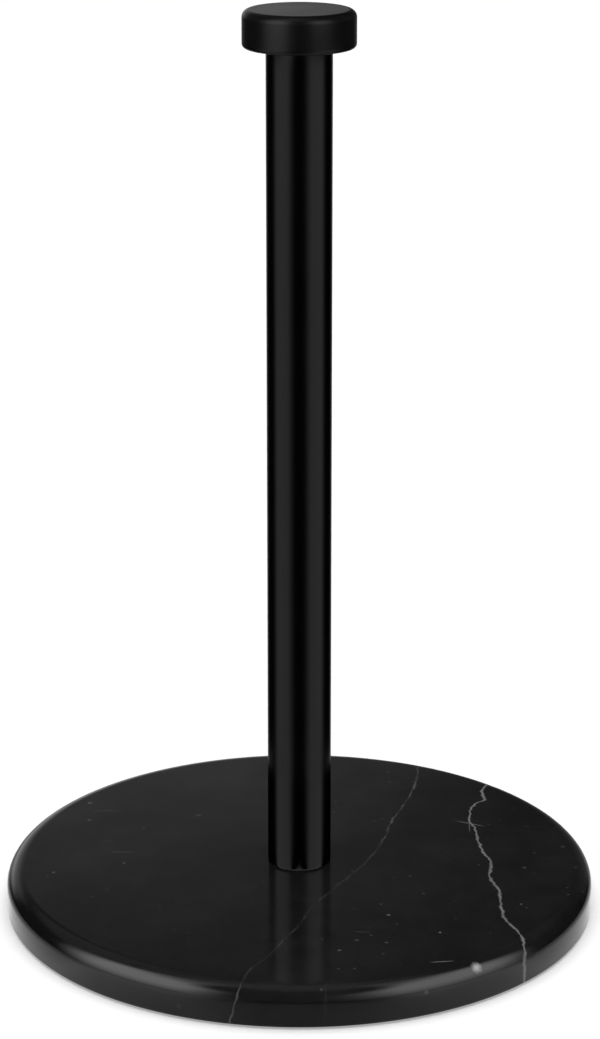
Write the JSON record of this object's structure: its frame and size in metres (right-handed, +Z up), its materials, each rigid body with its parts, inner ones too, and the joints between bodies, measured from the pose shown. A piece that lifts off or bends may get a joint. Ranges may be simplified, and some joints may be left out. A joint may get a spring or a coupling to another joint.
{
  "type": "paper towel holder",
  "caption": "Countertop paper towel holder: a round polished black marble base, a slim upright black post and a disc knob that unscrews from its top.",
  "frame": {"origin": "on the counter, under the axis of the post, at the height of the rubber pads' lower faces", "axes": "+Z up along the post's axis; -Y towards the side seen from the front"},
  "size_m": [0.206, 0.206, 0.314],
  "materials": {
    "black_marble": "polished black marble with thin pale veins; honed underside",
    "post_paint": "satin black powder coat",
    "knob_paint": "satin black powder coat",
    "plain_steel": "turned, uncoated",
    "zinc_plate": "bright zinc plate",
    "foot_rubber": "matt, moulded",
    "washer_rubber": "matt, die-cut sheet",
    "black_nylon": "satin, moulded"
  },
  "bodies": {
    "stand": {"marble_base": "black_marble", "foot_pad_1": "foot_rubber", "foot_pad_2": "foot_rubber", "foot_pad_3": "foot_rubber", "foot_pad_4": "foot_rubber", "stone_washer": "washer_rubber", "steel_washer": "zinc_plate", "lock_washer": "zinc_plate", "base_screw": "zinc_plate", "post_gasket": "washer_rubber", "post_tube": "post_paint", "foot_plug": "plain_steel", "head_plug": "plain_steel"},
    "washer": {"knob_washer": "black_nylon"},
    "knob": {"knob": "knob_paint", "knob_stud": "zinc_plate"}
  },
  "joints": [
    {"name": "knob_turn", "type": "hinge", "parent": "stand", "child": "washer", "pos_m": [0, 0, 0.30075], "axis": [0, 0, 1], "range_deg": [0, 3600]},
    {"name": "knob_rise", "type": "slide", "parent": "washer", "child": "knob", "axis": [0, 0, 1], "range_m": [0, 0.0125]}
  ],
  "couplings": [
    {"joint": "knob_turn", "follows": "knob_rise", "rad_per_m": 5026.5}
  ]
}
